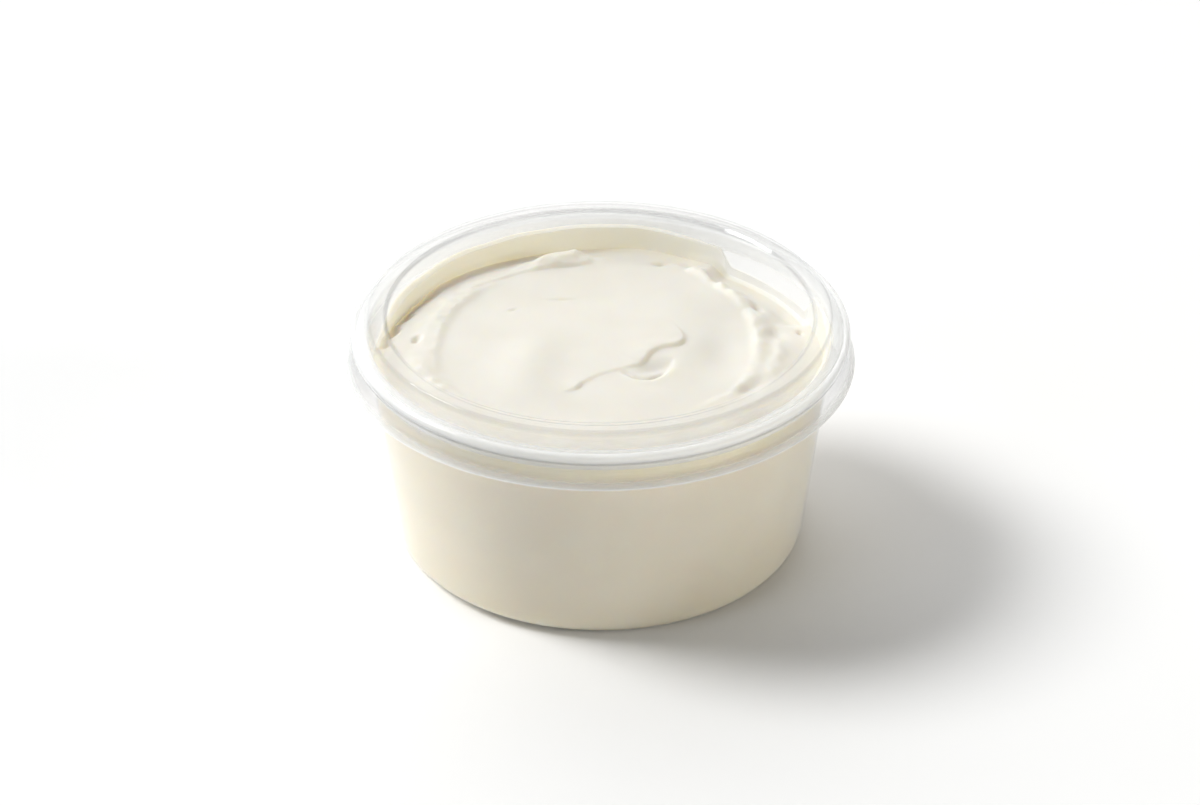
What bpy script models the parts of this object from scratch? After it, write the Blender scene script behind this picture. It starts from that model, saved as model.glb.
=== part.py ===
"""A round clear plastic tub of mascarpone with a clear push-on lid.

Three closed solids, modelled in metres with +Z up and the origin under the middle of the tub's foot:
the thin tapered tub with its turned-down rim, the mascarpone that fills it, with the swirled top and
the film it leaves up the wall, and the lid, whose bead and flared skirt go over the rim.
"""
import math

import bmesh
import bpy
import numpy as np
from mathutils import Vector, noise

MM = 0.001

# Tub, in millimetres
SEGMENTS = 72
WALL = 0.6
FOOT_R = 42.2            # where the wall's outer line would meet the table
WALL_SLOPE = 0.113       # outward run of the wall for each millimetre of height
FOOT_CORNER = 4.0
STANDING_RING_IN = 36.4
PANEL_R = 35.2
PANEL_LIFT = 0.6         # the base panel stands clear of the table
RIM_TOP = 47.7
RIM_R = 49.55
RIM_LIP_LOW = 44.4
RIM_LIP_THICK = 0.7
RIM_THICK = 0.8
RIM_CORNER = 0.6

# Lid, in millimetres
LID_WALL = 0.5
LID_PANEL_Z = 51.1
LID_PANEL_R = 43.1
LID_RIDGE_Z = 51.7
LID_RIDGE_IN = 43.7
LID_RIDGE_OUT = 46.9
LID_RIDGE_CORNER = 0.6
BEAD_R = 49.9            # middle of the bead's round section
BEAD_Z = 47.3
BEAD_SECTION = 0.95
CREASE_R = 50.4
CREASE_Z = 46.3
SKIRT_TOP_Z = 45.7
SKIRT_MID_R = 50.9
SKIRT_MID_Z = 43.8
SKIRT_R = 51.9
SKIRT_LOW = 41.25

# Mascarpone, in millimetres
CREAM_GAP = 0.3          # clearance to the tub all round
CREAM_COLUMNS = 96
CREAM_RINGS = 26
RING_CROWDING = 1.29     # the rings lie closer together towards the wall
DISC_LEVEL = 41.4        # the swirled middle
EDGE_LEVEL = 40.5        # where the surface meets the wall
EDGE_DIP = 2.0           # how much lower it meets the wall where that is bare behind the right side
DIP_FROM, DIP_TO, DIP_FADE = (math.radians(a) for a in (22, 53, 6))
FILM_THICK = 0.55
# The height of the film's top edge and its share of the thickness, by the angle in degrees from +X: the wall
# stays bare behind the right side and at the front left
FILM_LINE = [(-140, 40.8), (-131, 46.2), (18, 46.2), (23, 40.8), (53, 40.8), (56.5, 44.3), (72, 46),
             (90, 46.3), (136, 44.8), (157, 43.4), (168, 40.8)]
FILM_BODY = [(-140, 0), (-120, 1), (5, 1), (23, 0), (53, 0), (70, 1), (110, 1.2), (135, 1.5), (157, 1.7),
             (168, 0.4), (176, 0)]
WAVE_HEIGHT = 0.2
WAVE_SIZE = 11
TORN_SHARE = 0.6         # how uneven the ridges are
TORN_SIZE = 2.6

# Strokes of the spoon in the mascarpone's top, seen from above: the points that each passes through
LEFT_SWIRL = [(-20, -25), (-27, -19), (-32, -11), (-34, -3), (-33.8, 5), (-32.8, 12), (-30.5, 19), (-27, 25),
              (-22, 30)]
FRONT_CREST = [(-38.5, 2), (-37, -5), (-34.5, -11), (-31, -15.5), (-26, -20), (-19, -24)]
RIGHT_SWIRL = [(18.5, 36.5), (21.2, 33), (24.2, 28.6), (28.3, 23.5), (30.5, 18.8), (31.8, 13.8), (32.2, 7.6),
               (32.1, 1.5), (30.8, -5.4), (29.2, -10.5), (26.5, -15.5), (22, -20), (15, -25)]
OUTER_CREST = [(36.5, 9), (36.6, 2), (35.5, -4), (33.5, -10)]
FOLD = [(-25, 28.3), (-21.7, 30.6), (-16.9, 33.5), (-11.6, 35.4), (-8.4, 36.3), (-4.2, 36.9), (-1.5, 37.4)]
FOLD_TOP = [(-20, 33.5), (-15, 36), (-11.8, 38), (-8.5, 39.8), (-5, 40), (-1.5, 39.5), (3, 39.5)]
SMEAR = [(-8, -15.5), (-5, -14), (-3.4, -11.6), (0.1, -8.5), (4.1, -6.1), (7.6, -4.5), (9.2, -2.5),
         (10.5, 0.3), (12.7, 2.3), (16, 3.5), (17.3, 6), (16.8, 8.9), (15, 12.6), (12.6, 17.6)]
CREVICE = [(-33.8, 29.4), (-38.5, 22.9), (-41.8, 16), (-43.9, 8.8), (-44.6, 0)]
CURL = [(15, -0.5), (14.7, -2.9), (13.8, -6.1), (12.2, -8.4), (10.1, -10), (7.7, -9.6), (5.7, -7.9),
        (4, -7.2)]

# How strong each stroke is along its run, as (part of the run, share of the height)
EVEN = [(0, 0), (0.2, 1), (0.8, 1), (1, 0)]
LEFT_SWELL = [(0, 0), (0.25, 0.3), (0.45, 0.8), (0.6, 1), (0.8, 1), (0.92, 0.7), (1, 0.35)]
FRONT_SWELL = [(0, 0), (0.25, 0.7), (0.5, 1), (0.75, 0.6), (1, 0)]
RIGHT_SWELL = [(0, 0), (0.03, 0.9), (0.09, 1), (0.12, 0.5), (0.16, 1), (0.26, 0.9), (0.3, 0.25), (0.35, 0.6),
               (0.5, 0.55), (0.6, 0.25), (0.8, 0.3), (1, 0)]
FOLD_SWELL = [(0, 0.3), (0.35, 0.4), (0.55, 0.9), (0.7, 1), (0.88, 0.9), (1, 0)]
WEDGE_SWELL = [(0, 0), (0.3, 0.45), (0.5, 1), (0.66, 0.95), (0.85, 0.35), (1, 0)]
SMEAR_SWELL = [(0, 0), (0.05, 0.45), (0.1, 0.9), (0.14, 0.6), (0.2, 0.25), (0.33, 0.3), (0.42, 0.5),
               (0.48, 1), (0.54, 1), (0.6, 0.8), (0.67, 0.8), (0.74, 1), (0.79, 0.4), (0.85, 0.1), (0.93, 0),
               (1, 0)]
CREVICE_SWELL = [(0, 0), (0.25, 0.8), (0.5, 1), (0.8, 1), (1, 0)]
CURL_SWELL = [(0, 0), (0.15, 0.6), (0.4, 1), (0.65, 1), (0.85, 0.5), (1, 0)]

# Each ridge's stroke, swell, height, and width to its left and right; a groove has a negative height
RIDGES = [
    (LEFT_SWIRL, LEFT_SWELL, 0.6, 5.0, 1.3),
    (FRONT_CREST, FRONT_SWELL, 0.6, 1.8, 1.6),
    (RIGHT_SWIRL, RIGHT_SWELL, 1.25, 2.3, 1.15),
    (OUTER_CREST, EVEN, 0.4, 1.6, 1.4),
    (FOLD_TOP, WEDGE_SWELL, 1.9, 2.0, 2.6),
    (CREVICE, CREVICE_SWELL, -1.7, 1.9, 1.7),
    (CURL[2:], CURL_SWELL, -1.0, 0.6, 0.8),
]
# Each torn lip's stroke, swell, drop, the width of the drop, and how far it reaches to its left and right
LIPS = [
    (FOLD, FOLD_SWELL, 0.85, 0.3, 4, 1.1),
    (SMEAR, SMEAR_SWELL, 0.8, 0.25, 3.2, 2.0),
    (CURL, CURL_SWELL, 0.6, 0.35, 2.0, 1.5),
]
# Each hollow's centre, depth, width, length and turn in degrees; a hump has a negative depth
DENTS = [
    ((-25, 23), 0.3, 3.5, 7, 130),
    ((-15, -4), -1.0, 6, 13, 75),
    ((6, 8), -0.3, 10, 12, 20),
    ((25, 2), 1.1, 5.5, 13, 82),
    ((36.3, 8), 0.8, 2.0, 3.6, 100),
    ((32.8, 19.4), 0.85, 1.0, 1.7, 110),
    ((38, 19), 0.5, 1.5, 2.5, 120),
    ((29.6, -13.9), 0.8, 1.4, 3.4, 45),
    ((11.3, -5), 1.0, 2.2, 3.8, 35),
    ((9, 45), -0.8, 2.5, 10, -8),
    ((13.1, 38.8), 0.9, 1.0, 1.7, 20),
    ((19, 38.2), 0.7, 1.0, 3.0, -25),
    ((-37.7, 5.6), 1.0, 0.8, 1.3, 70),
    ((41.3, 9.7), 0.9, 0.6, 0.6, 0),
    ((-18.1, 18), 0.35, 0.5, 1.0, 20),
    ((-7.9, 22.3), 0.3, 0.45, 2.8, 4),
]


def wall_r(z):
    """Outer radius of the tub's tapered wall at a height."""
    return FOOT_R + WALL_SLOPE * z


def fillet(before, corner, after, radius, steps):
    """Points of the arc that rounds a profile corner."""
    corner = Vector(corner)
    to_a = (Vector(before) - corner).normalized()
    to_b = (Vector(after) - corner).normalized()
    half = to_a.angle(to_b) / 2
    centre = corner + (to_a + to_b).normalized() * radius / math.sin(half)
    start = (corner + to_a * radius / math.tan(half) - centre).normalized()
    end = (corner + to_b * radius / math.tan(half) - centre).normalized()
    return [tuple(centre + radius * start.slerp(end, i / steps)) for i in range(steps + 1)]


def arc(centre, radius, start_deg, end_deg, steps):
    """Points of an arc in the profile plane."""
    angles = [math.radians(start_deg + (end_deg - start_deg) * i / steps) for i in range(steps + 1)]
    return [(centre[0] + radius * math.cos(a), centre[1] + radius * math.sin(a)) for a in angles]


def offset(profile, distance):
    """The profile moved sideways by a distance, to the right of its direction."""
    points = [Vector(p) for p in profile]
    normals = [Vector((b.y - a.y, a.x - b.x)).normalized() for a, b in zip(points, points[1:])]
    moved = []
    for i, point in enumerate(points):
        before = normals[max(i - 1, 0)]
        after = normals[min(i, len(normals) - 1)]
        bisector = (before + after).normalized()
        moved.append(tuple(point + bisector * distance / bisector.dot(after)))
    return moved


def material(name, colour, roughness, transmission=0.0, ior=1.5):
    """A Principled material with the piece's colour and finish."""
    made = bpy.data.materials.new(name)
    made.use_nodes = True
    shader = made.node_tree.nodes["Principled BSDF"]
    shader.inputs["Base Color"].default_value = (*colour, 1.0)
    shader.inputs["Roughness"].default_value = roughness
    shader.inputs["Metallic"].default_value = 0.0
    shader.inputs["Transmission Weight"].default_value = transmission
    shader.inputs["IOR"].default_value = ior
    return made


def add_object(name, mesh_builder, surface):
    """A scene object from a bmesh in millimetres, smooth but for its real edges."""
    bmesh.ops.scale(mesh_builder, vec=(MM, MM, MM), verts=mesh_builder.verts)
    bmesh.ops.recalc_face_normals(mesh_builder, faces=mesh_builder.faces)
    mesh = bpy.data.meshes.new(name)
    mesh_builder.to_mesh(mesh)
    mesh_builder.free()
    mesh.shade_smooth()
    mesh.set_sharp_from_angle(angle=math.radians(40))
    mesh.materials.append(surface)
    piece = bpy.data.objects.new(name, mesh)
    bpy.context.scene.collection.objects.link(piece)
    return piece


def turned(name, profile, surface):
    """A closed profile in the XZ plane turned about Z; ends that lie on the axis close to a point."""
    builder = bmesh.new()
    vertices = [builder.verts.new((r, 0.0, z)) for r, z in profile]
    edges = [builder.edges.new(pair) for pair in zip(vertices, vertices[1:])]
    bmesh.ops.spin(
        builder,
        geom=vertices + edges,
        cent=(0, 0, 0),
        axis=(0, 0, 1),
        angle=math.tau,
        steps=SEGMENTS,
        use_merge=True,
    )
    bmesh.ops.remove_doubles(builder, verts=builder.verts, dist=0.001)
    return add_object(name, builder, surface)


def tub_profile():
    """The tub's section, from under the middle of its base, up the outside and down the inside."""
    foot = (FOOT_R, 0)
    wall_top = (wall_r(RIM_TOP - RIM_THICK), RIM_TOP - RIM_THICK)
    lip_in = RIM_R - RIM_LIP_THICK
    outside = [(0, PANEL_LIFT), (PANEL_R, PANEL_LIFT), (STANDING_RING_IN, 0)]
    outside += fillet((STANDING_RING_IN, 0), foot, wall_top, FOOT_CORNER, 4)
    outside += [wall_top, (lip_in, wall_top[1]), (lip_in + 0.05, RIM_LIP_LOW), (RIM_R, RIM_LIP_LOW)]
    rim_inner = (wall_r(RIM_TOP) - WALL, RIM_TOP)
    outside += fillet((RIM_R, RIM_LIP_LOW), (RIM_R, RIM_TOP), rim_inner, RIM_CORNER, 2)
    floor = PANEL_LIFT + WALL
    corner = (wall_r(WALL) - WALL, WALL)
    inside = fillet((RIM_R, RIM_TOP), rim_inner, corner, RIM_CORNER, 2)
    inside += fillet(rim_inner, corner, (STANDING_RING_IN, WALL), FOOT_CORNER - WALL, 3)
    inside += [(STANDING_RING_IN + 0.3, WALL), (PANEL_R + 0.3, floor), (0, floor)]
    return outside + inside


def lid_profile():
    """The lid's section, from its middle out over the ridge and bead, down the skirt and back inside."""
    ridge_out = (LID_RIDGE_OUT, LID_RIDGE_Z)
    bead = arc((BEAD_R, BEAD_Z), BEAD_SECTION, 115, -40, 5)
    outside = [(0, LID_PANEL_Z), (LID_PANEL_R, LID_PANEL_Z), (LID_RIDGE_IN, LID_RIDGE_Z)]
    outside += fillet((LID_RIDGE_IN, LID_RIDGE_Z), ridge_out, bead[0], LID_RIDGE_CORNER, 2)
    outside += bead
    outside += [(CREASE_R, CREASE_Z), (CREASE_R + 0.05, SKIRT_TOP_Z), (SKIRT_MID_R, SKIRT_MID_Z)]
    outside.append((SKIRT_R, SKIRT_LOW))
    inside = offset(outside, LID_WALL)
    inside[0] = (0, inside[0][1])
    inside[-1] = (SKIRT_R - LID_WALL, SKIRT_LOW)
    return outside + inside[::-1]


def smooth(low, high, value):
    """0 below low, 1 above high, easing between."""
    t = np.clip((value - low) / (high - low), 0.0, 1.0)
    return t * t * (3 - 2 * t)


def spline(points, per_span=6):
    """A smooth curve through a few points of the plane."""
    ends = [2 * np.array(points[0]) - points[1], *points, 2 * np.array(points[-1]) - points[-2]]
    ends = [np.array(p, float) for p in ends]
    curve = []
    for a, b, c, d in zip(ends, ends[1:], ends[2:], ends[3:]):
        for t in np.arange(per_span) / per_span:
            curve.append(0.5 * (2 * b + (c - a) * t + (2 * a - 5 * b + 4 * c - d) * t**2
                                + (3 * b - 3 * c + d - a) * t**3))
    curve.append(ends[-2])
    return np.array(curve)


def along(points, x, y):
    """Signed distance to a stroke (positive on its left) and how far along it the nearest point is."""
    curve = spline(points)
    start = curve[:-1]
    step = curve[1:] - start
    length = np.hypot(step[:, 0], step[:, 1])
    run = np.concatenate([[0], np.cumsum(length)])
    best = np.full(x.shape, np.inf)
    signed = np.zeros(x.shape)
    part = np.zeros(x.shape)
    for (px, py), (dx, dy), size, done in zip(start, step, length, run):
        t = np.clip(((x - px) * dx + (y - py) * dy) / size**2, 0, 1)
        ex = x - px - t * dx
        ey = y - py - t * dy
        distance = np.hypot(ex, ey)
        nearer = distance < best
        best = np.where(nearer, distance, best)
        signed = np.where(nearer, np.where(dx * ey - dy * ex > 0, distance, -distance), signed)
        part = np.where(nearer, (done + t * size) / run[-1], part)
    return signed, part


def ridge(x, y, points, swell, height, left, right):
    """A ridge along a stroke, of its own width on each side."""
    distance, part = along(points, x, y)
    width = np.where(distance > 0, left, right)
    fade = np.interp(part, *zip(*swell))
    return height * fade * np.exp(-(distance / width)**2)


def lip(x, y, points, swell, height, edge, left, right):
    """A torn lip along a stroke: high on its left, with a short drop and a hollow at its foot."""
    distance, part = along(points, x, y)
    fade = np.interp(part, *zip(*swell))
    high = 0.62 * (0.5 + 0.5 * np.tanh(distance / edge)) * np.exp(-(np.maximum(distance, 0) / left)**2)
    low = 0.38 * (0.5 - 0.5 * np.tanh(distance / edge)) * np.exp(-(np.minimum(distance, 0) / right)**2)
    return height * fade * (high - low)


def dent(x, y, centre, depth, width, length, turn_deg=0.0):
    """A soft oval hollow, or a hump where the depth is negative."""
    turn = math.radians(turn_deg)
    along_x = (x - centre[0]) * math.cos(turn) + (y - centre[1]) * math.sin(turn)
    along_y = (y - centre[1]) * math.cos(turn) - (x - centre[0]) * math.sin(turn)
    return -depth * np.exp(-(along_x / length)**2 - (along_y / width)**2)


def waves(x, y, size, seed):
    """Gentle unevenness of one size over the surface."""
    flat = [noise.noise(Vector((px / size, py / size, seed))) for px, py in zip(x.ravel(), y.ravel())]
    return np.array(flat).reshape(x.shape)


def edge_level(angle):
    """Height at which the surface meets the wall: lower behind the right side."""
    around = np.arctan2(np.sin(angle), np.cos(angle))
    dip = smooth(DIP_FROM - DIP_FADE, DIP_FROM, around) * smooth(-DIP_TO - DIP_FADE, -DIP_TO, -around)
    return EDGE_LEVEL - EDGE_DIP * dip


def film_top(angle):
    """Height that the film on the wall reaches, a little ragged."""
    line = np.interp(np.degrees(angle), *zip(*FILM_LINE), period=360)
    ragged = 0.35 * waves(9 * np.cos(angle), 9 * np.sin(angle), 2.0, 5.0)
    return np.maximum(edge_level(angle) + 0.3, line + ragged)


def surface_height(x, y):
    """Height of the mascarpone's top: a smeared disc inside a swirled ridge, with a torn lip."""
    radius = np.hypot(x, y)
    angle = np.arctan2(y, x)
    edge = edge_level(angle)
    height = DISC_LEVEL + (edge - DISC_LEVEL) * smooth(36, 45.5, radius)
    torn = 1 + TORN_SHARE * waves(x, y, TORN_SIZE, 8.0)
    for stroke, swell, rise, left, right in RIDGES:
        height += torn * ridge(x, y, stroke, swell, rise, left, right)
    for stroke, swell, drop, edge_width, left, right in LIPS:
        height += torn * lip(x, y, stroke, swell, drop, edge_width, left, right)
    for centre, depth, width, length, turn_deg in DENTS:
        height += dent(x, y, centre, depth, width, length, turn_deg)
    height += WAVE_HEIGHT * waves(x, y, WAVE_SIZE, 2.0)
    return height


def mascarpone():
    """The filling: a polar grid for the swirled top, a film up the wall, and the tub's inside below."""
    angles = np.arange(CREAM_COLUMNS) * math.tau / CREAM_COLUMNS
    side_r = FOOT_R - WALL - CREAM_GAP
    foot_r = side_r + WALL_SLOPE * edge_level(angles) - FILM_THICK
    steps = np.arange(1, CREAM_RINGS + 1) / CREAM_RINGS
    share = np.sin(steps * RING_CROWDING) / math.sin(RING_CROWDING)
    rings = []
    for part in share:
        x = part * foot_r * np.cos(angles)
        y = part * foot_r * np.sin(angles)
        rings.append(np.stack([x, y, surface_height(x, y)], 1))

    top = film_top(angles)
    body = np.interp(np.degrees(angles), *zip(*FILM_BODY), period=360)
    film_edge = FILM_THICK * (0.3 + 0.4 * body)
    low = WALL + CREAM_GAP
    floor = low + PANEL_LIFT
    side_top = (side_r + WALL_SLOPE * RIM_TOP, RIM_TOP)
    corner = (side_r + WALL_SLOPE * low, low)

    def ring(radius, z):
        return np.stack([radius * np.cos(angles), radius * np.sin(angles), z + 0 * angles], 1)

    rings.append(ring(side_r + WALL_SLOPE * top - film_edge, top - 0.15))
    rings.append(ring(side_r + WALL_SLOPE * top, top))
    rings += [ring(r, z) for r, z in fillet(side_top, corner, (STANDING_RING_IN, low), FOOT_CORNER - low, 2)]
    rings.append(ring(STANDING_RING_IN + 0.3, low))
    rings.append(ring(PANEL_R, floor))

    builder = bmesh.new()
    middle = surface_height(np.zeros(1), np.zeros(1))[0]
    top_point = builder.verts.new((0, 0, middle))
    bottom_point = builder.verts.new((0, 0, floor))
    grid = [[builder.verts.new(point) for point in row] for row in rings]
    for i in range(CREAM_COLUMNS):
        after = (i + 1) % CREAM_COLUMNS
        builder.faces.new((top_point, grid[0][i], grid[0][after]))
        builder.faces.new((bottom_point, grid[-1][after], grid[-1][i]))
        for upper, lower in zip(grid, grid[1:]):
            builder.faces.new((upper[i], lower[i], lower[after], upper[after]))
    bmesh.ops.triangulate(builder, faces=builder.faces)
    return builder


for old in list(bpy.data.objects):
    bpy.data.objects.remove(old)

clear = material("clear_plastic", (0.93, 0.95, 0.95), 0.08, transmission=0.95)
ivory = material("mascarpone", (0.90, 0.86, 0.76), 0.45)

turned("tub", tub_profile(), clear)
turned("lid", lid_profile(), clear.copy())
add_object("mascarpone", mascarpone(), ivory)
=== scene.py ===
"""The looks of the mascarpone tub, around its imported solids.

Three pieces take the place of the three solids, with the same sizes and finer surfaces: the thin clear
tub with its turned-down rim, the clear lid with its ridge, bead and flared skirt, and the mascarpone,
with its swirled top and the film that it leaves up the wall.
"""

import math

import bmesh
import bpy
import numpy as np
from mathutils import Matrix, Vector, noise


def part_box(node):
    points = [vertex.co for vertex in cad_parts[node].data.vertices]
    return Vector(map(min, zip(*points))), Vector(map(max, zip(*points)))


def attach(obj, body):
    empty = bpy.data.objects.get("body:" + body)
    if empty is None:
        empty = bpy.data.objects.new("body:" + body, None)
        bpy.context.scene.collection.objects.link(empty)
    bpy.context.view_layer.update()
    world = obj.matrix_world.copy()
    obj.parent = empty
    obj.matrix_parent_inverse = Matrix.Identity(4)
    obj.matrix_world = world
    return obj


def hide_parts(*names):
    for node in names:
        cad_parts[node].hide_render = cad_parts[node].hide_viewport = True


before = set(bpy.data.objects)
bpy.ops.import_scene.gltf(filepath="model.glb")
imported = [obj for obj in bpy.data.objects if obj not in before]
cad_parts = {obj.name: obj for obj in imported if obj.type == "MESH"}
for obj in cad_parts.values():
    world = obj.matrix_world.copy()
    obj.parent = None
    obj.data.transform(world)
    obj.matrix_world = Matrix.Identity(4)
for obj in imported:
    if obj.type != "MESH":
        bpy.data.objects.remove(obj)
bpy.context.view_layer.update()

MM = 0.001

# Sizes taken from the frame, in millimetres
RIM_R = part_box("tub")[1].x / MM
RIM_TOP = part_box("tub")[1].z / MM
SKIRT_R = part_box("lid")[1].x / MM
SKIRT_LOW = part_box("lid")[0].z / MM
RIDGE_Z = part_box("lid")[1].z / MM

# Smoothness of the pieces
SEGMENTS = 288           # around the tub and the lid
SHARP_DEG = 50           # an edge that bends more than this stays sharp

# Tub, in millimetres
WALL = 0.6
FOOT_R = 42.2            # where the wall's outer line would meet the table
WALL_SLOPE = 0.113       # outward run of the wall for each millimetre of height
FOOT_CORNER = 4.0
STANDING_RING_IN = 36.4
PANEL_R = 35.2
PANEL_LIFT = 0.6         # the base panel stands clear of the table
RIM_LIP_LOW = 44.4
RIM_LIP_THICK = 0.7
RIM_THICK = 0.8
RIM_CORNER = 0.6
SOFT_CORNER = 0.25       # the moulded plastic's small corners

# Lid, in millimetres
LID_WALL = 0.5
LID_SOFT_CORNER = 0.3
PANEL_DROP = 0.6         # the panel lies this far below the ridge
TOP_DEPTH = 1.5          # the panel and the ridge lie within this depth of the lid's top
LID_PANEL_R = 43.1
RIDGE_IN = 43.7
RIDGE_OUT = 46.9
RIDGE_CORNER = 0.6
BEAD_R = 49.9            # middle of the bead's round section
BEAD_Z = 47.3
BEAD_SECTION = 0.95
BEAD_FROM, BEAD_TO, BEAD_STEPS = 115, -40, 14
CREASE_R = 50.4
CREASE_Z = 46.3
SKIRT_TOP_Z = 45.7
SKIRT_MID_R = 50.9
SKIRT_MID_Z = 43.8

# How milky the plastic is, from 0 to 1: the lid at each height, the tub's rim and its wall
LID_MILK = [(SKIRT_LOW, 0.7), (SKIRT_LOW + 0.3, 0.6), (SKIRT_LOW + 0.6, 0.015), (45.8, 0.015), (46.6, 0.3),
            (48.2, 0.3), (48.8, 0.03), (51.0, 0.03), (51.5, 0.1)]
RIM_MILK = 0.4
RIM_CLEAR_R, RIM_MILK_R = 46.2, 46.8     # the rim turns milky between these radii
WALL_MILK = 0.2
WALL_MILK_Z = 22         # the wall turns milky from its foot up to this height
UNDER_RIM_Z = 43.5       # and stays so up to this one

# Painted shade on the lid, from 0 to 1, in its groove, at its ridge's corners, on its ridge and on its skirt
CREASE_SHADE = 0.8
RIDGE_IN_SHADE = 0.45
RIDGE_OUT_SHADE = 0.22
RIDGE_SHADE = 0.06
SKIRT_SHADE = 0.22
CORNER_SHADE_WIDTH = 0.25

# Mascarpone, in millimetres
INTO_WALL = 0.2          # the mascarpone reaches this far into the tub's wall
CREAM_COLUMNS = 480
CREAM_RINGS = 170
RING_CROWDING = 1.1      # the rings lie closer together towards the wall
FILM_RINGS = 10
FILM_CLEARANCE = 0.3     # between the solids of the tub and the mascarpone
FILM_EDGE = 0.3          # the film's inner side ends this far below its top edge
SIDE_TOP, SIDE_RINGS = 36, 9             # the rings against the tub's wall, from this height down
DISC_LEVEL = 41.4        # the swirled middle, level as far out as DISC_R
DISC_R = 36
EDGE_LEVEL = 40.5        # where the surface meets the wall, level from EDGE_R out
EDGE_R = 45.5
EDGE_DIP = 2.0           # how much lower it meets the wall where that is bare behind the right side
DIP_FROM, DIP_TO, DIP_FADE = (math.radians(a) for a in (22, 53, 6))
FILM_THICK = 0.55
# The height of the film's top edge and its share of the thickness, by the angle in degrees from +X: the wall
# stays bare behind the right side and at the front left
FILM_LINE = [(-140, 40.8), (-131, 46.2), (18, 46.2), (23, 40.8), (53, 40.8), (56.5, 44.3), (72, 46),
             (90, 46.3), (136, 44.8), (157, 43.4), (168, 40.8)]
FILM_BODY = [(-140, 0), (-120, 1), (5, 1), (23, 0), (53, 0), (70, 1), (110, 1.2), (135, 1.5), (157, 1.7),
             (168, 0.4), (176, 0)]
# Unevenness of the surface, of the ridges as a share of their height, and of the film's top edge
WAVE_HEIGHT, WAVE_SIZE, WAVE_SEED = 0.2, 11, 2.0
TORN_SHARE, TORN_SIZE, TORN_SEED = 0.6, 2.6, 8.0
RAGGED_HEIGHT, RAGGED_R, RAGGED_SIZE, RAGGED_SEED = 0.35, 9, 2.0, 5.0
LIP_HIGH = 0.62          # share of a torn lip's drop that stands above the surface

# Strokes of the spoon in the mascarpone's top, seen from above: the points that each passes through
LEFT_SWIRL = [(-20, -25), (-27, -19), (-32, -11), (-34, -3), (-33.8, 5), (-32.8, 12), (-30.5, 19), (-27, 25),
              (-22, 30)]
FRONT_CREST = [(-38.5, 2), (-37, -5), (-34.5, -11), (-31, -15.5), (-26, -20), (-19, -24)]
RIGHT_SWIRL = [(18.5, 36.5), (21.2, 33), (24.2, 28.6), (28.3, 23.5), (30.5, 18.8), (31.8, 13.8), (32.2, 7.6),
               (32.1, 1.5), (30.8, -5.4), (29.2, -10.5), (26.5, -15.5), (22, -20), (15, -25)]
OUTER_CREST = [(36.5, 9), (36.6, 2), (35.5, -4), (33.5, -10)]
FOLD = [(-25, 28.3), (-21.7, 30.6), (-16.9, 33.5), (-11.6, 35.4), (-8.4, 36.3), (-4.2, 36.9), (-1.5, 37.4)]
FOLD_TOP = [(-20, 33.5), (-15, 36), (-11.8, 38), (-8.5, 39.8), (-5, 40), (-1.5, 39.5), (3, 39.5)]
SMEAR = [(-8, -15.5), (-5, -14), (-3.4, -11.6), (0.1, -8.5), (4.1, -6.1), (7.6, -4.5), (9.2, -2.5),
         (10.5, 0.3), (12.7, 2.3), (16, 3.5), (17.3, 6), (16.8, 8.9), (15, 12.6), (12.6, 17.6)]
CREVICE = [(-33.8, 29.4), (-38.5, 22.9), (-41.8, 16), (-43.9, 8.8), (-44.6, 0)]
CURL = [(15, -0.5), (14.7, -2.9), (13.8, -6.1), (12.2, -8.4), (10.1, -10), (7.7, -9.6), (5.7, -7.9),
        (4, -7.2)]

# How strong each stroke is along its run, as (part of the run, share of the height)
EVEN = [(0, 0), (0.2, 1), (0.8, 1), (1, 0)]
LEFT_SWELL = [(0, 0), (0.25, 0.3), (0.45, 0.8), (0.6, 1), (0.8, 1), (0.92, 0.7), (1, 0.35)]
FRONT_SWELL = [(0, 0), (0.25, 0.7), (0.5, 1), (0.75, 0.6), (1, 0)]
RIGHT_SWELL = [(0, 0), (0.03, 0.9), (0.09, 1), (0.12, 0.5), (0.16, 1), (0.26, 0.9), (0.3, 0.25), (0.35, 0.6),
               (0.5, 0.55), (0.6, 0.25), (0.8, 0.3), (1, 0)]
FOLD_SWELL = [(0, 0.3), (0.35, 0.4), (0.55, 0.9), (0.7, 1), (0.88, 0.9), (1, 0)]
WEDGE_SWELL = [(0, 0), (0.3, 0.45), (0.5, 1), (0.66, 0.95), (0.85, 0.35), (1, 0)]
SMEAR_SWELL = [(0, 0), (0.05, 0.45), (0.1, 0.9), (0.14, 0.6), (0.2, 0.25), (0.33, 0.3), (0.42, 0.5),
               (0.48, 1), (0.54, 1), (0.6, 0.8), (0.67, 0.8), (0.74, 1), (0.79, 0.4), (0.85, 0.1), (0.93, 0),
               (1, 0)]
CREVICE_SWELL = [(0, 0), (0.25, 0.8), (0.5, 1), (0.8, 1), (1, 0)]
CURL_SWELL = [(0, 0), (0.15, 0.6), (0.4, 1), (0.65, 1), (0.85, 0.5), (1, 0)]

# Each ridge's stroke, swell, height, and width to its left and right; a groove has a negative height
RIDGES = [
    (LEFT_SWIRL, LEFT_SWELL, 0.6, 5.0, 1.3),
    (FRONT_CREST, FRONT_SWELL, 0.6, 1.8, 1.6),
    (RIGHT_SWIRL, RIGHT_SWELL, 1.25, 2.3, 1.15),
    (OUTER_CREST, EVEN, 0.4, 1.6, 1.4),
    (FOLD_TOP, WEDGE_SWELL, 1.9, 2.0, 2.6),
    (CREVICE, CREVICE_SWELL, -1.7, 1.9, 1.7),
    (CURL[2:], CURL_SWELL, -1.0, 0.6, 0.8),
]
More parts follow.
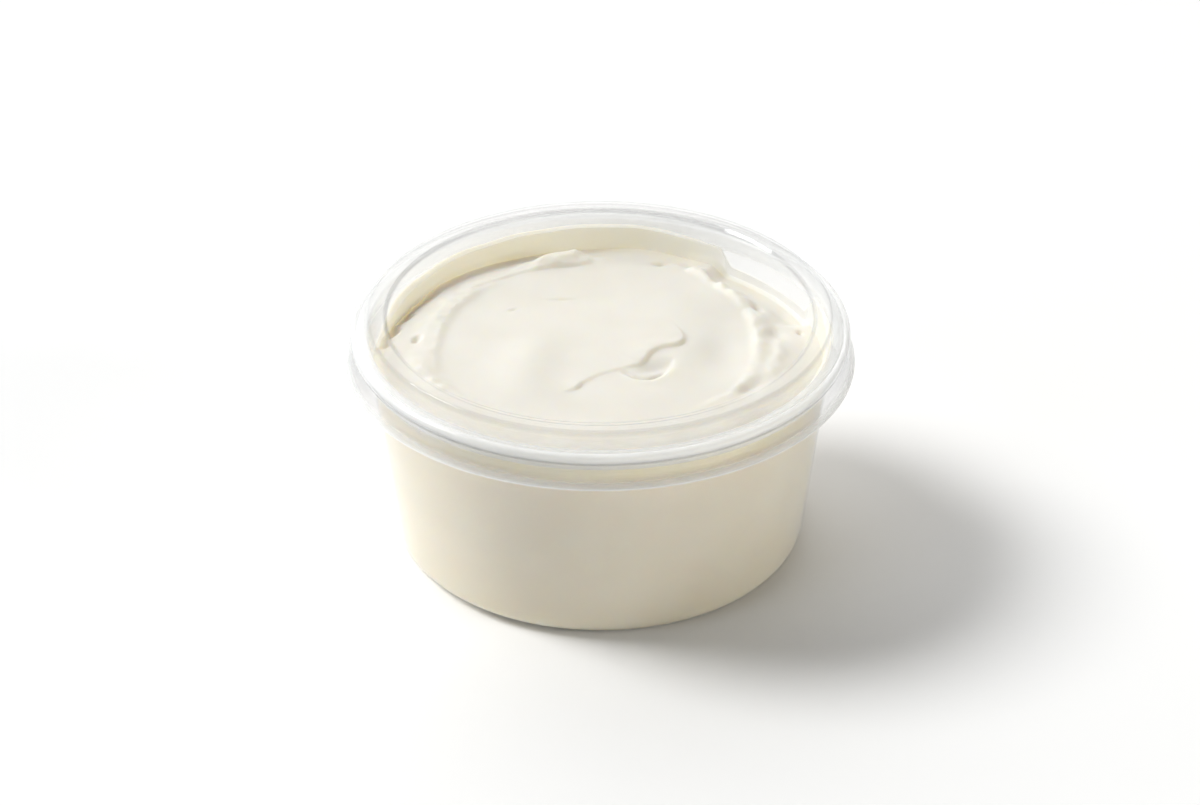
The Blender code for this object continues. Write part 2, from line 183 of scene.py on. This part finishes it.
# Each torn lip's stroke, swell, drop, the width of the drop, and how far it reaches to its left and right
LIPS = [
    (FOLD, FOLD_SWELL, 0.85, 0.3, 4, 1.1),
    (SMEAR, SMEAR_SWELL, 0.8, 0.25, 3.2, 2.0),
    (CURL, CURL_SWELL, 0.6, 0.35, 2.0, 1.5),
]
# Each hollow's centre, depth, width, length and turn in degrees; a hump has a negative depth
DENTS = [
    ((-25, 23), 0.3, 3.5, 7, 130),
    ((-15, -4), -1.0, 6, 13, 75),
    ((6, 8), -0.3, 10, 12, 20),
    ((25, 2), 1.1, 5.5, 13, 82),
    ((36.3, 8), 0.8, 2.0, 3.6, 100),
    ((32.8, 19.4), 0.85, 1.0, 1.7, 110),
    ((38, 19), 0.5, 1.5, 2.5, 120),
    ((29.6, -13.9), 0.8, 1.4, 3.4, 45),
    ((11.3, -5), 1.0, 2.2, 3.8, 35),
    ((9, 45), -0.8, 2.5, 10, -8),
    ((13.1, 38.8), 0.9, 1.0, 1.7, 20),
    ((19, 38.2), 0.7, 1.0, 3.0, -25),
    ((-37.7, 5.6), 1.0, 0.8, 1.3, 70),
    ((41.3, 9.7), 0.9, 0.6, 0.6, 0),
    ((-18.1, 18), 0.35, 0.5, 1.0, 20),
    ((-7.9, 22.3), 0.3, 0.45, 2.8, 4),
]

# Camera, floor and lights, in metres and degrees
CAMERA_LENS = 105.66
CAMERA_PLACE = (0, -0.61957, 0.40518)
CAMERA_DOWN = 31.22
FLOOR_SIZE = 6.0
LIGHT_DISTANCE = 8.0
WORLD_STRENGTH = 0.03
WORLD_GLOW = 1.85        # added towards the pale wall behind
WORLD_GLOW_FROM = (-0.35, 0.85, 0.35)
WORLD_GLOW_FOCUS = 3
# Each soft light's name, azimuth from +X, elevation, width of its disc, power in watts, colour, and if gloss
# mirrors it
LIGHTS = [
    ("key", 166, 45, 3.4, 516, (1, 1, 0.99), True),
    ("left", 215, 25, 4.0, 72, (0.94, 1, 1.07), False),
    ("right", 340, 15, 3.2, 228, (1.02, 1, 0.94), False),
]


# Shapes

def wall_r(z):
    """Outer radius of the tub's tapered wall at a height."""
    return FOOT_R + WALL_SLOPE * z


def rounded(corners, steps=6):
    """A profile through corners (r, z, radius), each turned into an arc of its radius."""
    line = []
    for i, (r, z, radius) in enumerate(corners):
        corner = Vector((r, z))
        if radius == 0:
            line.append(tuple(corner))
            continue
        to_a = (Vector(corners[i - 1][:2]) - corner).normalized()
        to_b = (Vector(corners[i + 1][:2]) - corner).normalized()
        half = to_a.angle(to_b) / 2
        centre = corner + (to_a + to_b).normalized() * radius / math.sin(half)
        start = (corner + to_a * radius / math.tan(half) - centre).normalized()
        end = (corner + to_b * radius / math.tan(half) - centre).normalized()
        line += [tuple(centre + radius * start.slerp(end, k / steps)) for k in range(steps + 1)]
    return line


def arc(centre, radius, start_deg, end_deg, steps):
    """Points of an arc in the profile plane."""
    angles = [math.radians(start_deg + (end_deg - start_deg) * i / steps) for i in range(steps + 1)]
    return [(centre[0] + radius * math.cos(a), centre[1] + radius * math.sin(a)) for a in angles]


def offset(profile, distance):
    """The profile moved sideways by a distance, to the right of its direction."""
    points = [Vector(p) for p in profile]
    normals = [Vector((b.y - a.y, a.x - b.x)).normalized() for a, b in zip(points, points[1:])]
    moved = []
    for i, point in enumerate(points):
        before = normals[max(i - 1, 0)]
        after = normals[min(i, len(normals) - 1)]
        bisector = (before + after).normalized()
        moved.append(tuple(point + bisector * distance / bisector.dot(after)))
    return moved


def add_piece(name, builder, surface, node):
    """A piece from a bmesh in millimetres, which rides on the one body in place of a solid."""
    bmesh.ops.scale(builder, vec=(MM, MM, MM), verts=builder.verts)
    bmesh.ops.recalc_face_normals(builder, faces=builder.faces)
    mesh = bpy.data.meshes.new(name)
    builder.to_mesh(mesh)
    builder.free()
    mesh.shade_smooth()
    mesh.set_sharp_from_angle(angle=math.radians(SHARP_DEG))
    mesh.materials.append(surface)
    piece = bpy.data.objects.new(name, mesh)
    bpy.context.scene.collection.objects.link(piece)
    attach(piece, "root")
    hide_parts(node)
    return piece


def turned(profile):
    """A closed profile turned about Z; its ends lie on the axis and close to a point."""
    builder = bmesh.new()
    vertices = [builder.verts.new((r, 0.0, z)) for r, z in profile]
    edges = [builder.edges.new(pair) for pair in zip(vertices, vertices[1:])]
    bmesh.ops.spin(
        builder,
        geom=vertices + edges,
        cent=(0, 0, 0),
        axis=(0, 0, 1),
        angle=math.tau,
        steps=SEGMENTS,
        use_merge=True,
    )
    bmesh.ops.remove_doubles(builder, verts=builder.verts, dist=0.001)
    return builder


def tub_profile():
    """The tub's section, from under the middle of its base, up the outside and down the inside.

    Corners of radius 0 only carry the plastic's milkiness.
    """
    wall_top = RIM_TOP - RIM_THICK
    lip_in = RIM_R - RIM_LIP_THICK
    floor = PANEL_LIFT + WALL
    return rounded([
        (0, PANEL_LIFT, 0),
        (PANEL_R, PANEL_LIFT, SOFT_CORNER),
        (STANDING_RING_IN, 0, SOFT_CORNER),
        (FOOT_R, 0, FOOT_CORNER),
        (wall_r(WALL_MILK_Z), WALL_MILK_Z, 0),
        (wall_r(UNDER_RIM_Z), UNDER_RIM_Z, 0),
        (wall_r(wall_top), wall_top, SOFT_CORNER),
        (lip_in, wall_top, SOFT_CORNER),
        (lip_in + 0.05, RIM_LIP_LOW, SOFT_CORNER),
        (RIM_R, RIM_LIP_LOW, SOFT_CORNER),
        (RIM_R, RIM_TOP, RIM_CORNER),
        (wall_r(RIM_TOP) - WALL, RIM_TOP, RIM_CORNER),
        (wall_r(UNDER_RIM_Z) - WALL, UNDER_RIM_Z, 0),
        (wall_r(WALL_MILK_Z) - WALL, WALL_MILK_Z, 0),
        (wall_r(WALL) - WALL, WALL, FOOT_CORNER - WALL),
        (STANDING_RING_IN + 0.3, WALL, SOFT_CORNER),
        (PANEL_R + 0.3, floor, SOFT_CORNER),
        (0, floor, 0),
    ])


def lid_profile():
    """The lid's section, from its middle out over the ridge and bead, down the skirt and back inside.

    Corners of radius 0 on the flats beside a round corner keep the corner's painted shade to itself.
    """
    bead = arc((BEAD_R, BEAD_Z), BEAD_SECTION, BEAD_FROM, BEAD_TO, BEAD_STEPS)
    ridge_out = Vector((RIDGE_OUT, RIDGE_Z))
    down_shoulder = (Vector(bead[0]) - ridge_out).normalized()
    outside = rounded([
        (0, RIDGE_Z - PANEL_DROP, 0),
        (LID_PANEL_R, RIDGE_Z - PANEL_DROP, LID_SOFT_CORNER),
        (RIDGE_IN, RIDGE_Z, LID_SOFT_CORNER),
        (RIDGE_IN + 0.5, RIDGE_Z, 0),
        (RIDGE_OUT - 1.2, RIDGE_Z, 0),
        (RIDGE_OUT - 0.6, RIDGE_Z, 0),
        (RIDGE_OUT, RIDGE_Z, RIDGE_CORNER),
        (*(ridge_out + down_shoulder * 0.7), 0),
        (*(ridge_out + down_shoulder * 1.4), 0),
        (*bead[0], 0),
    ])
    outside += bead[1:-1]
    outside += rounded([
        (*bead[-1], 0),
        (CREASE_R, CREASE_Z, 0.15),
        (CREASE_R + 0.05, SKIRT_TOP_Z, 0.5),
        (SKIRT_MID_R, SKIRT_MID_Z, 3.0),
        (SKIRT_R - 0.1, SKIRT_LOW + 0.5, 0),
        (SKIRT_R, SKIRT_LOW, 0),
    ])
    inside = offset(outside, LID_WALL)
    inside[0] = (0, inside[0][1])
    inside[-1] = (SKIRT_R - LID_WALL, SKIRT_LOW)
    return outside + inside[::-1]


def smooth(low, high, value):
    """0 below low, 1 above high, easing between."""
    t = np.clip((value - low) / (high - low), 0.0, 1.0)
    return t * t * (3 - 2 * t)


def spline(points, per_span=10):
    """A smooth curve through a few points of the plane."""
    ends = [2 * np.array(points[0]) - points[1], *points, 2 * np.array(points[-1]) - points[-2]]
    ends = [np.array(p, float) for p in ends]
    curve = []
    for a, b, c, d in zip(ends, ends[1:], ends[2:], ends[3:]):
        for t in np.arange(per_span) / per_span:
            curve.append(0.5 * (2 * b + (c - a) * t + (2 * a - 5 * b + 4 * c - d) * t**2
                                + (3 * b - 3 * c + d - a) * t**3))
    curve.append(ends[-2])
    return np.array(curve)


def along(points, x, y):
    """Signed distance to a stroke (positive on its left) and how far along it the nearest point is."""
    curve = spline(points)
    start = curve[:-1]
    step = curve[1:] - start
    length = np.hypot(step[:, 0], step[:, 1])
    run = np.concatenate([[0], np.cumsum(length)])
    best = np.full(x.shape, np.inf)
    signed = np.zeros(x.shape)
    part = np.zeros(x.shape)
    for (px, py), (dx, dy), size, done in zip(start, step, length, run):
        t = np.clip(((x - px) * dx + (y - py) * dy) / size**2, 0, 1)
        ex = x - px - t * dx
        ey = y - py - t * dy
        distance = np.hypot(ex, ey)
        nearer = distance < best
        best = np.where(nearer, distance, best)
        signed = np.where(nearer, np.where(dx * ey - dy * ex > 0, distance, -distance), signed)
        part = np.where(nearer, (done + t * size) / run[-1], part)
    return signed, part


def ridge(x, y, points, swell, height, left, right):
    """A ridge along a stroke, of its own width on each side."""
    distance, part = along(points, x, y)
    width = np.where(distance > 0, left, right)
    fade = np.interp(part, *zip(*swell))
    return height * fade * np.exp(-(distance / width)**2)


def lip(x, y, points, swell, height, edge, left, right):
    """A torn lip along a stroke: high on its left, with a short drop and a hollow at its foot."""
    distance, part = along(points, x, y)
    fade = np.interp(part, *zip(*swell))
    step = 0.5 + 0.5 * np.tanh(distance / edge)
    high = LIP_HIGH * step * np.exp(-(np.maximum(distance, 0) / left)**2)
    low = (1 - LIP_HIGH) * (1 - step) * np.exp(-(np.minimum(distance, 0) / right)**2)
    return height * fade * (high - low)


def dent(x, y, centre, depth, width, length, turn_deg=0.0):
    """A soft oval hollow, or a hump where the depth is negative."""
    turn = math.radians(turn_deg)
    along_x = (x - centre[0]) * math.cos(turn) + (y - centre[1]) * math.sin(turn)
    along_y = (y - centre[1]) * math.cos(turn) - (x - centre[0]) * math.sin(turn)
    return -depth * np.exp(-(along_x / length)**2 - (along_y / width)**2)


def waves(x, y, size, seed):
    """Gentle unevenness of one size over the surface."""
    flat = [noise.noise(Vector((px / size, py / size, seed))) for px, py in zip(x.ravel(), y.ravel())]
    return np.array(flat).reshape(x.shape)


def edge_level(angle):
    """Height at which the surface meets the wall: lower behind the right side."""
    around = np.arctan2(np.sin(angle), np.cos(angle))
    dip = smooth(DIP_FROM - DIP_FADE, DIP_FROM, around) * smooth(-DIP_TO - DIP_FADE, -DIP_TO, -around)
    return EDGE_LEVEL - EDGE_DIP * dip


def film_top(angle):
    """Height that the film on the wall reaches, a little ragged."""
    line = np.interp(np.degrees(angle), *zip(*FILM_LINE), period=360)
    ragged = waves(RAGGED_R * np.cos(angle), RAGGED_R * np.sin(angle), RAGGED_SIZE, RAGGED_SEED)
    return np.maximum(edge_level(angle) + FILM_EDGE, line + RAGGED_HEIGHT * ragged)


def surface_height(x, y):
    """Height of the mascarpone's top: a smeared disc inside swirled ridges, with torn lips and hollows."""
    radius = np.hypot(x, y)
    angle = np.arctan2(y, x)
    edge = edge_level(angle)
    height = DISC_LEVEL + (edge - DISC_LEVEL) * smooth(DISC_R, EDGE_R, radius)
    torn = 1 + TORN_SHARE * waves(x, y, TORN_SIZE, TORN_SEED)
    for stroke, swell, rise, left, right in RIDGES:
        height += torn * ridge(x, y, stroke, swell, rise, left, right)
    for stroke, swell, drop, edge_width, left, right in LIPS:
        height += torn * lip(x, y, stroke, swell, drop, edge_width, left, right)
    for centre, depth, width, length, turn_deg in DENTS:
        height += dent(x, y, centre, depth, width, length, turn_deg)
    height += WAVE_HEIGHT * waves(x, y, WAVE_SIZE, WAVE_SEED)
    return height


def mascarpone():
    """The filling: a fine polar grid for the swirled top, a film up the wall, and the tub's inside below."""
    angles = np.arange(CREAM_COLUMNS) * math.tau / CREAM_COLUMNS
    inner = FOOT_R - WALL
    outer = inner + INTO_WALL
    edge = edge_level(angles)
    foot_r = inner - FILM_CLEARANCE + WALL_SLOPE * edge - FILM_THICK
    steps = np.arange(1, CREAM_RINGS + 1) / CREAM_RINGS
    share = np.sin(steps * RING_CROWDING) / math.sin(RING_CROWDING)
    rings = []
    for part in share:
        x = part * foot_r * np.cos(angles)
        y = part * foot_r * np.sin(angles)
        rings.append(np.stack([x, y, surface_height(x, y)], 1))

    def ring(radius, z):
        return np.stack([radius * np.cos(angles), radius * np.sin(angles), z + 0 * angles], 1)

    top = film_top(angles)
    foot_z = rings[-1][:, 2]
    inside = inner - FILM_CLEARANCE - FILM_THICK
    body = np.interp(np.degrees(angles), *zip(*FILM_BODY), period=360)
    thinner = (FILM_THICK + FILM_CLEARANCE + INTO_WALL / 2) * (1 - body)
    for i in range(1, FILM_RINGS + 1):
        z = foot_z + (top - FILM_EDGE - foot_z) * i / FILM_RINGS
        leaned = min(1, 3 * i / FILM_RINGS)
        rings.append(ring(inside + thinner * leaned + WALL_SLOPE * z, z))
    rings.append(ring(inner - FILM_CLEARANCE * body + WALL_SLOPE * top, top))
    rings.append(ring(outer + WALL_SLOPE * top, top))
    low = WALL - INTO_WALL
    for z in np.linspace(SIDE_TOP, FOOT_CORNER, SIDE_RINGS):
        rings.append(ring(outer + WALL_SLOPE * z, z))
    rings += [ring(r, z) for r, z in rounded([
        (outer + WALL_SLOPE * FOOT_CORNER, FOOT_CORNER, 0),
        (outer + WALL_SLOPE * low, low, FOOT_CORNER - low),
        (STANDING_RING_IN, low, 0.2),
        (PANEL_R, low + PANEL_LIFT, 0),
    ])[1:]]

    builder = bmesh.new()
    middle = surface_height(np.zeros(1), np.zeros(1))[0]
    top_point = builder.verts.new((0, 0, middle))
    bottom_point = builder.verts.new((0, 0, low + PANEL_LIFT))
    grid = [[builder.verts.new(point) for point in row] for row in rings]
    for i in range(CREAM_COLUMNS):
        after = (i + 1) % CREAM_COLUMNS
        builder.faces.new((top_point, grid[0][i], grid[0][after]))
        builder.faces.new((bottom_point, grid[-1][after], grid[-1][i]))
        for upper, lower in zip(grid, grid[1:]):
            builder.faces.new((upper[i], lower[i], lower[after], upper[after]))
    return builder


def store(piece, name, value_at):
    """Stores on each point of a piece a number that follows from its radius and height."""
    points = np.array([v.co for v in piece.data.vertices]) / MM
    stored = piece.data.attributes.new(name, "FLOAT", "POINT")
    stored.data.foreach_set("value", value_at(np.hypot(points[:, 0], points[:, 1]), points[:, 2]))


def wet_and_painted_shade(r, z):
    """How far the mascarpone lies against the tub's wall: 1 on the wall, 0 on the open surface."""
    # The mask for the mascarpone's wet tone and painted warm shade along the wall
    depth = FOOT_R - WALL + WALL_SLOPE * z - r
    return np.where(z < FOOT_CORNER, 1.0, smooth(0.0, INTO_WALL, -depth))


def tub_milk(r, z):
    """How milky the tub's plastic is: clear at its foot, faintly milky up its wall, more so in its rim."""
    wall = WALL_MILK * np.clip((z - FOOT_CORNER) / (WALL_MILK_Z - FOOT_CORNER), 0, 1)
    rim = RIM_MILK * smooth(RIM_CLEAR_R, RIM_MILK_R, r)
    return np.where(z > RIM_LIP_LOW - 0.1, rim, wall)


def lid_milk(r, z):
    """How milky the lid's plastic is: clear in its panel, milky in its ridge, bead and cut edge."""
    in_panel = (z > RIDGE_Z - TOP_DEPTH) & (r < RIDGE_IN - 0.2)
    return np.interp(z, *zip(*LID_MILK)) * np.where(in_panel, 0.0, 1.0)


def lid_shade(r, z):
    """Painted shade on the lid: faint on its skirt and ridge, more in its groove and its ridge's corners."""
    # Painted shade, standing in for the dark lines that refraction and the bead's overhang give the real lid
    groove = smooth(CREASE_Z - 0.5, CREASE_Z - 0.1, z) * (1 - smooth(CREASE_Z + 0.1, CREASE_Z + 0.4, z))
    skirt = (z > SKIRT_LOW + 0.4) & (z < SKIRT_TOP_Z)
    ridge_in = RIDGE_IN_SHADE * np.exp(-((r - RIDGE_IN + 0.3) / CORNER_SHADE_WIDTH)**2)
    ridge_out = RIDGE_OUT_SHADE * np.exp(-((r - RIDGE_OUT) / CORNER_SHADE_WIDTH)**2)
    ridge_top = RIDGE_SHADE * ((r > RIDGE_IN) & (r < RIDGE_OUT))
    on_top = z > RIDGE_Z - TOP_DEPTH
    return CREASE_SHADE * groove + SKIRT_SHADE * skirt + (ridge_in + ridge_out + ridge_top) * on_top


# Materials

class Nodes:
    """A short way to write a node tree."""

    def __init__(self, name):
        self.material = bpy.data.materials.new(name)
        self.material.use_nodes = True
        self.tree = self.material.node_tree
        self.tree.nodes.clear()

    def add(self, kind, **settings):
        """A node; a setting that names an input sets or links it, any other is a property."""
        node = self.tree.nodes.new("ShaderNode" + kind)
        for key, value in settings.items():
            socket = next((s for s in node.inputs if s.identifier.replace(" ", "_") == key), None)
            if socket is None:
                socket = next((s for s in node.inputs if s.name.replace(" ", "_") == key), None)
            if socket is None:
                setattr(node, key, value)
            elif isinstance(value, bpy.types.NodeSocket):
                self.tree.links.new(value, socket)
            else:
                socket.default_value = value
        return node

    def noise(self, scale, detail=3.0, roughness=0.5):
        """A noise over the piece's own coordinates; scale is in features per metre."""
        place = self.add("TexCoord").outputs["Object"]
        made = self.add("TexNoise", Vector=place, Scale=scale, Detail=detail, Roughness=roughness)
        return made.outputs["Fac"]

    def between(self, factor, low, high):
        """A number that follows a 0 to 1 factor."""
        return self.add("MapRange", Value=factor, To_Min=low, To_Max=high).outputs["Result"]

    def colours(self, factor, stops):
        """A colour ramp of (position, colour) stops."""
        ramp = self.add("ValToRGB", Fac=factor)
        elements = ramp.color_ramp.elements
        while len(elements) < len(stops):
            elements.new(0.5)
        for element, (position, colour) in zip(elements, stops):
            element.position = position
            element.color = (*colour, 1.0)
        return ramp.outputs["Color"]

    def attribute(self, name):
        """A number stored on the mesh."""
        return self.add("Attribute", attribute_name=name).outputs["Fac"]

    def blend_colours(self, factor, first, second):
        """A colour between two colours."""
        made = self.add("Mix", data_type="RGBA")
        for socket, value in zip((made.inputs[0], made.inputs[6], made.inputs[7]), (factor, first, second)):
            self.tree.links.new(value, socket)
        return made.outputs[2]

    def bump(self, height, strength, distance):
        """A normal from a height."""
        return self.add("Bump", Height=height, Strength=strength, Distance=distance).outputs["Normal"]

    def mix(self, factor, first, second):
        """A mix of two shaders."""
        mixed = self.add("MixShader", Fac=factor)
        self.tree.links.new(first.outputs[0], mixed.inputs[1])
        self.tree.links.new(second.outputs[0], mixed.inputs[2])
        return mixed

    def finish(self, shader):
        """The material, with a shader on its surface."""
        output = self.add("OutputMaterial")
        self.tree.links.new(shader.outputs[0], output.inputs["Surface"])
        return self.material


def clear_plastic(name, edge_tint, roughness, mirror_low, mirror_high):
    """Thin clear moulded plastic: milky and matt where its parts are thick, mirroring more edge-on.

    Light falls through it softly dimmed where it is milky, without hard shadows. A stored shade number
    darkens what shows through it as painted shade.
    """
    n = Nodes(name)
    milk = n.attribute("milk")
    ripple = n.bump(n.noise(150.0, 1.0, 0.5), 0.06, 0.0002)
    edge_on = n.add("LayerWeight", Blend=0.5, Normal=ripple).outputs["Facing"]
    steep = n.add("Math", operation="POWER", Value=edge_on)
    steep.inputs[1].default_value = 5.0
    clear = n.colours(edge_on, [(0.0, (0.995, 0.995, 0.995)), (0.55, (0.99, 0.99, 0.99)), (1.0, edge_tint)])
    # Painted shade: the stored shade number darkens what is seen through the plastic, down to a dark grey
    painted_shade_tint = n.colours(n.attribute("shade"), [(0.0, (1.0, 1.0, 1.0)), (1.0, (0.52, 0.52, 0.53))])
    tint = n.add("Mix", data_type="RGBA", blend_type="MULTIPLY")
    tint.inputs[0].default_value = 1.0
    n.tree.links.new(clear, tint.inputs[6])
    n.tree.links.new(painted_shade_tint, tint.inputs[7])
    through = n.add("BsdfTransparent", Color=tint.outputs[2])
    white = (0.92, 0.925, 0.925, 1.0)
    body = n.mix(0.25, n.add("BsdfDiffuse", Color=white), n.add("BsdfTranslucent", Color=white))
    cloudy = n.mix(milk, through, body)
    matt = n.add("MapRange", Value=milk, From_Min=0.2, From_Max=0.5, To_Min=roughness, To_Max=0.3)
    mirror = n.add("BsdfGlossy", Color=(1.0, 1.0, 1.0, 1.0), Roughness=matt.outputs[0], Normal=ripple)
    seen = n.mix(n.between(steep.outputs[0], mirror_low, mirror_high), cloudy, mirror)
    passed = n.colours(milk, [(0.0, (0.99, 0.99, 0.99)), (0.5, (0.85, 0.85, 0.85))])
    lit = n.add("BsdfTransparent", Color=passed)
    return n.finish(n.mix(n.add("LightPath").outputs["Is Shadow Ray"], seen, lit))


def cream_surface():
    """Ivory mascarpone, with light under its skin and a fine grain; a wet tone and painted warm shade at the
    wall.
    """
    n = Nodes("mascarpone")
    mottle = n.noise(90.0, 4.0, 0.55)
    grain = n.noise(900.0, 3.0, 0.6)
    open_air = n.colours(mottle, [(0.3, (0.775, 0.742, 0.65)), (0.7, (0.82, 0.792, 0.715))])
    # A wet tone and painted warm shade: the side against the wall gets a deeper, warmer copy of the colour
    wet_and_painted_shade = n.colours(mottle, [(0.3, (0.79, 0.72, 0.57)), (0.7, (0.82, 0.76, 0.62))])
    body = n.add(
        "BsdfPrincipled",
        Base_Color=n.blend_colours(n.attribute("wet_and_painted_shade"), open_air, wet_and_painted_shade),
        Roughness=n.between(mottle, 0.42, 0.56),
        Subsurface_Weight=0.8,
        Subsurface_Radius=(1.0, 0.8, 0.5),
        Subsurface_Scale=0.005,
        IOR=1.4,
        Normal=n.bump(grain, 0.12, 0.0001),
    )
    body.subsurface_method = "RANDOM_WALK"
    return n.finish(body)


def floor_surface():
    """A plain pale tabletop."""
    n = Nodes("floor")
    body = n.add("BsdfPrincipled", Base_Color=(0.99, 0.99, 0.99, 1.0), Roughness=0.7)
    return n.finish(body)


# Studio

def add_floor():
    """The plain pale tabletop under the tub."""
    bpy.ops.mesh.primitive_plane_add(size=FLOOR_SIZE, location=(0, 0, 0))
    floor = bpy.context.object
    floor.name = "floor"
    floor.data.materials.append(floor_surface())


def add_camera():
    """The camera, at the photograph's angle."""
    camera = bpy.data.objects.new("camera", bpy.data.cameras.new("camera"))
    bpy.context.scene.collection.objects.link(camera)
    camera.data.sensor_width = 36
    camera.data.lens = CAMERA_LENS
    camera.location = CAMERA_PLACE
    camera.rotation_euler = (math.radians(90 - CAMERA_DOWN), 0, 0)
    bpy.context.scene.camera = camera


def add_lights():
    """The soft lights, each aimed at the tub."""
    for name, azimuth, elevation, size, power, colour, mirrored in LIGHTS:
        lamp = bpy.data.objects.new(name, bpy.data.lights.new(name, "AREA"))
        bpy.context.scene.collection.objects.link(lamp)
        lamp.data.shape = "DISK"
        lamp.data.size = size
        lamp.data.energy = power
        lamp.data.color = colour
        lamp.visible_glossy = mirrored
        az, el = math.radians(azimuth), math.radians(elevation)
        away = Vector((math.cos(az) * math.cos(el), math.sin(az) * math.cos(el), math.sin(el)))
        lamp.location = away * LIGHT_DISTANCE
        lamp.rotation_euler = away.to_track_quat("Z", "Y").to_euler()


def add_world():
    """A dim room with a pale wall that glows behind the tub, seen in the plastic's gloss."""
    world = bpy.data.worlds.new("studio")
    bpy.context.scene.world = world
    world.use_nodes = True
    nodes, links = world.node_tree.nodes, world.node_tree.links
    direction = nodes.new("ShaderNodeTexCoord")
    towards = nodes.new("ShaderNodeVectorMath")
    towards.operation = "DOT_PRODUCT"
    towards.inputs[1].default_value = Vector(WORLD_GLOW_FROM).normalized()
    ahead = nodes.new("ShaderNodeMath")
    ahead.operation = "MAXIMUM"
    ahead.inputs[1].default_value = 0.0
    focused = nodes.new("ShaderNodeMath")
    focused.operation = "POWER"
    focused.inputs[1].default_value = WORLD_GLOW_FOCUS
    strength = nodes.new("ShaderNodeMath")
    strength.operation = "MULTIPLY_ADD"
    strength.inputs[1].default_value = WORLD_GLOW
    strength.inputs[2].default_value = WORLD_STRENGTH
    links.new(direction.outputs["Generated"], towards.inputs[0])
    links.new(towards.outputs["Value"], ahead.inputs[0])
    links.new(ahead.outputs[0], focused.inputs[0])
    links.new(focused.outputs[0], strength.inputs[0])
    links.new(strength.outputs[0], nodes["Background"].inputs["Strength"])
    nodes["Background"].inputs["Color"].default_value = (1, 1, 1, 1)


add_floor()
add_camera()
add_lights()
add_world()
bpy.context.scene.view_settings.view_transform = "Standard"
bpy.context.scene.cycles.transparent_max_bounces = 32

tub_plastic = clear_plastic(
    "tub_plastic", edge_tint=(0.94, 0.95, 0.955), roughness=0.06, mirror_low=0.03, mirror_high=0.9)
tub = add_piece("tub_wall", turned(tub_profile()), tub_plastic, "tub")
store(tub, "milk", tub_milk)

lid_plastic = clear_plastic(
    "lid_plastic", edge_tint=(0.86, 0.87, 0.875), roughness=0.04, mirror_low=0.02, mirror_high=0.7)
lid = add_piece("lid_cover", turned(lid_profile()), lid_plastic, "lid")
store(lid, "milk", lid_milk)
# The lid's painted shade, stored on its points for its material
store(lid, "shade", lid_shade)

filling = add_piece("mascarpone_filling", mascarpone(), cream_surface(), "mascarpone")
# The mascarpone's wet tone and painted warm shade follow where it lies against the wall
store(filling, "wet_and_painted_shade", wet_and_painted_shade)
